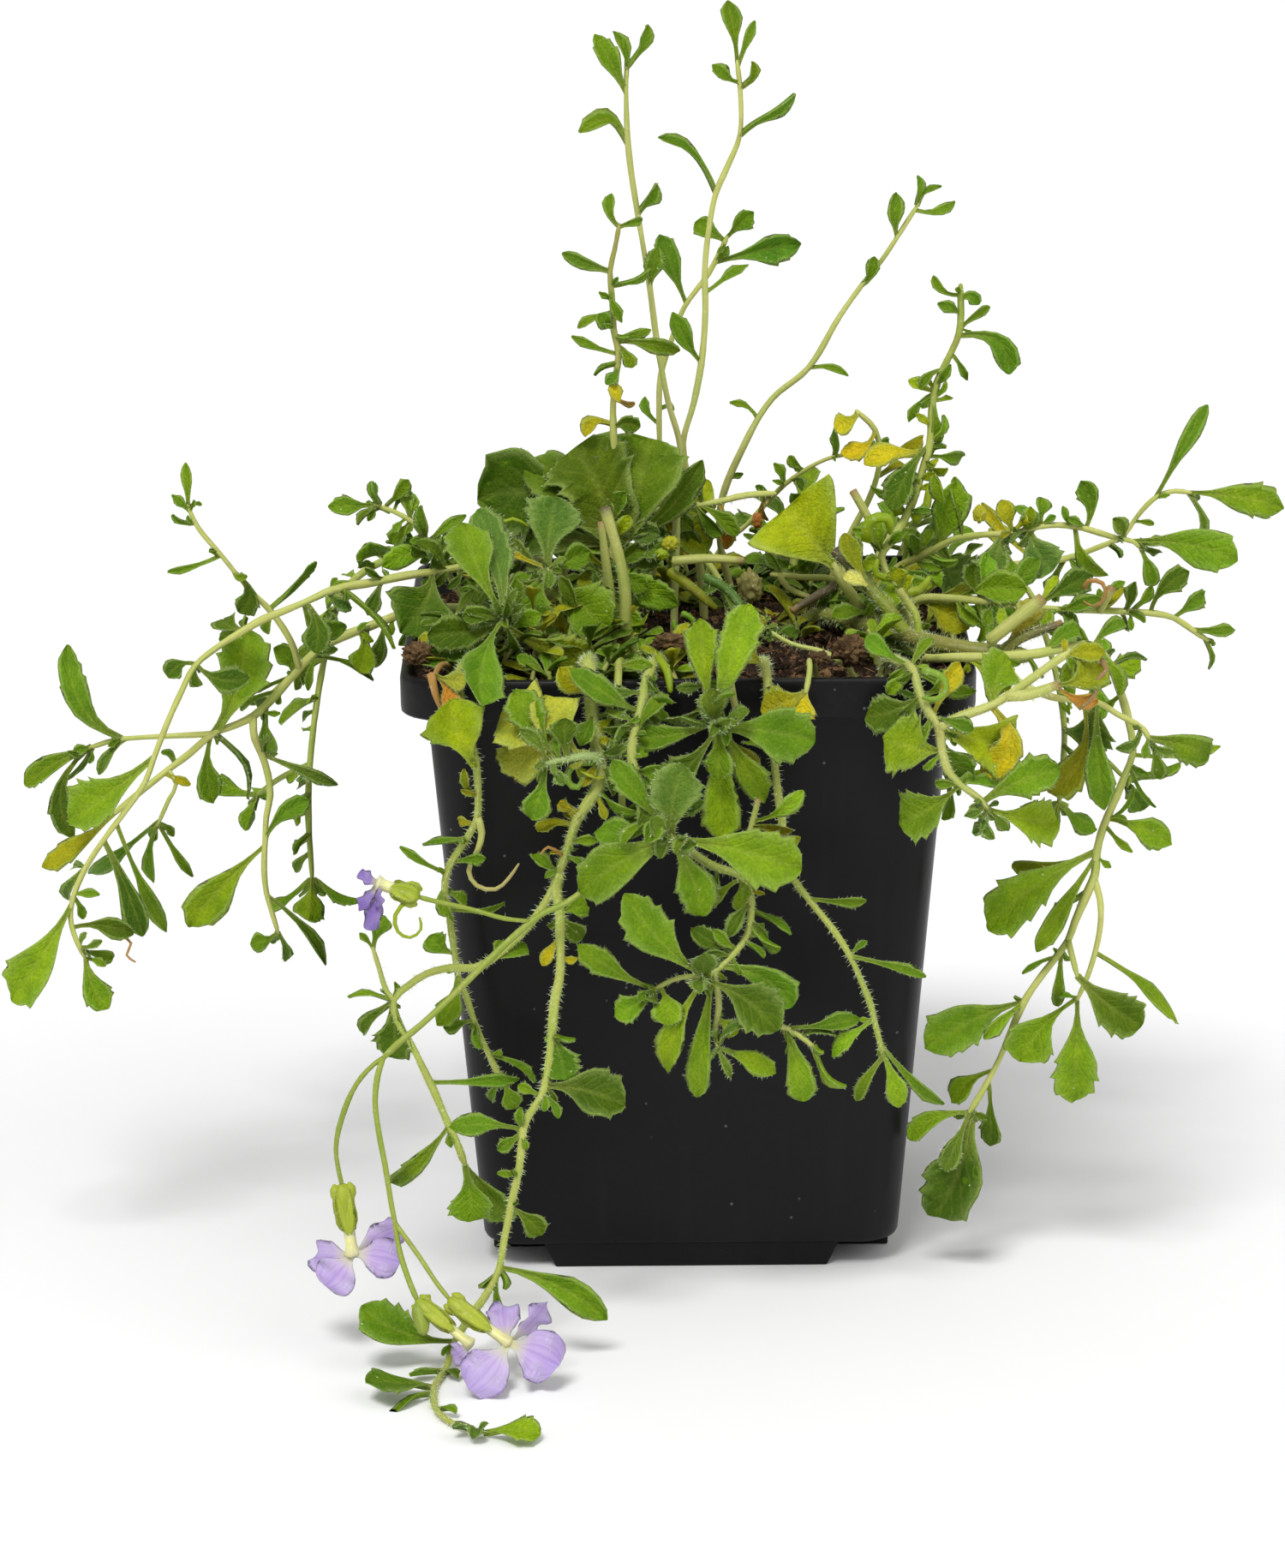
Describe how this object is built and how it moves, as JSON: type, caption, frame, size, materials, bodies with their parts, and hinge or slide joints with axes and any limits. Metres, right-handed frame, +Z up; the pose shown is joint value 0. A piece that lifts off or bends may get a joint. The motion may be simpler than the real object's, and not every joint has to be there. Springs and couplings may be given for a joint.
{
  "type": "potted aubrieta",
  "caption": "Trailing aubrieta with lilac blooms, growing in peat in a square black nursery pot; a free-standing balcony plant.",
  "frame": {"origin": "middle of the pot's foot, on the surface that it stands on", "axes": "+Z up; the side that the picture shows faces -Y; +X is to its right"},
  "size_m": [0.2048, 0.1922, 0.1989],
  "materials": {
    "pot_plastic": "satin black, injection moulded",
    "peat": "matt dark brown peat with fibres",
    "petal_lilac": "soft lilac petal with darker veins",
    "dry_leaf": "dry brown leaf",
    "leaf_yellow": "yellowed leaf",
    "stem_woody": "hairy woody stem with pale cut ends",
    "leaf_green": "matt hairy green leaf on a pale green stem"
  },
  "bodies": {
    "root": {"pot": "pot_plastic", "soil": "peat", "stem_upright_left": "leaf_green", "crown_left": "leaf_green", "stem_upright_tall": "leaf_green", "stem_upright_leaning": "leaf_green", "stem_arching": "leaf_green", "stem_curly_right": "leaf_green", "yellow_leaf_right": "leaf_yellow", "stem_low_twig": "leaf_green", "stem_hairy_twig": "leaf_green", "rosette_left": "leaf_green", "rosette_rim": "leaf_green", "left_cluster": "leaf_green", "trail_left_upper": "leaf_green", "trail_left_lower": "leaf_green", "stem_woody": "stem_woody", "trail_right_upper": "leaf_green", "trail_right_high": "leaf_green", "right_middle": "leaf_green", "trail_right_hanging": "leaf_green", "right_front": "leaf_green", "rosette_front": "leaf_green", "stem_stub_front": "stem_woody", "stem_stub_back": "stem_woody", "stem_stub_pale": "stem_woody", "leaf_triangular": "leaf_green", "stem_fuzzy": "leaf_green", "rosettes_hanging": "leaf_green", "stem_front_long": "leaf_green", "leaf_front_yellow": "leaf_yellow", "trail_front_left": "leaf_green", "trail_left_front": "leaf_green", "flower_stalk": "leaf_green", "leaf_dry_rim": "dry_leaf", "drape_right": "leaf_green", "drape_back_right": "leaf_green", "drape_back_middle": "leaf_green", "drape_back_left": "leaf_green", "drape_back_corner": "leaf_green", "drape_left": "leaf_green", "tuft_back_left": "leaf_green", "tuft_back_right": "leaf_green", "tuft_back_middle": "leaf_green", "petals_low": "petal_lilac", "petals_floor": "petal_lilac", "petals_faded": "petal_lilac"}
  },
  "joints": []
}
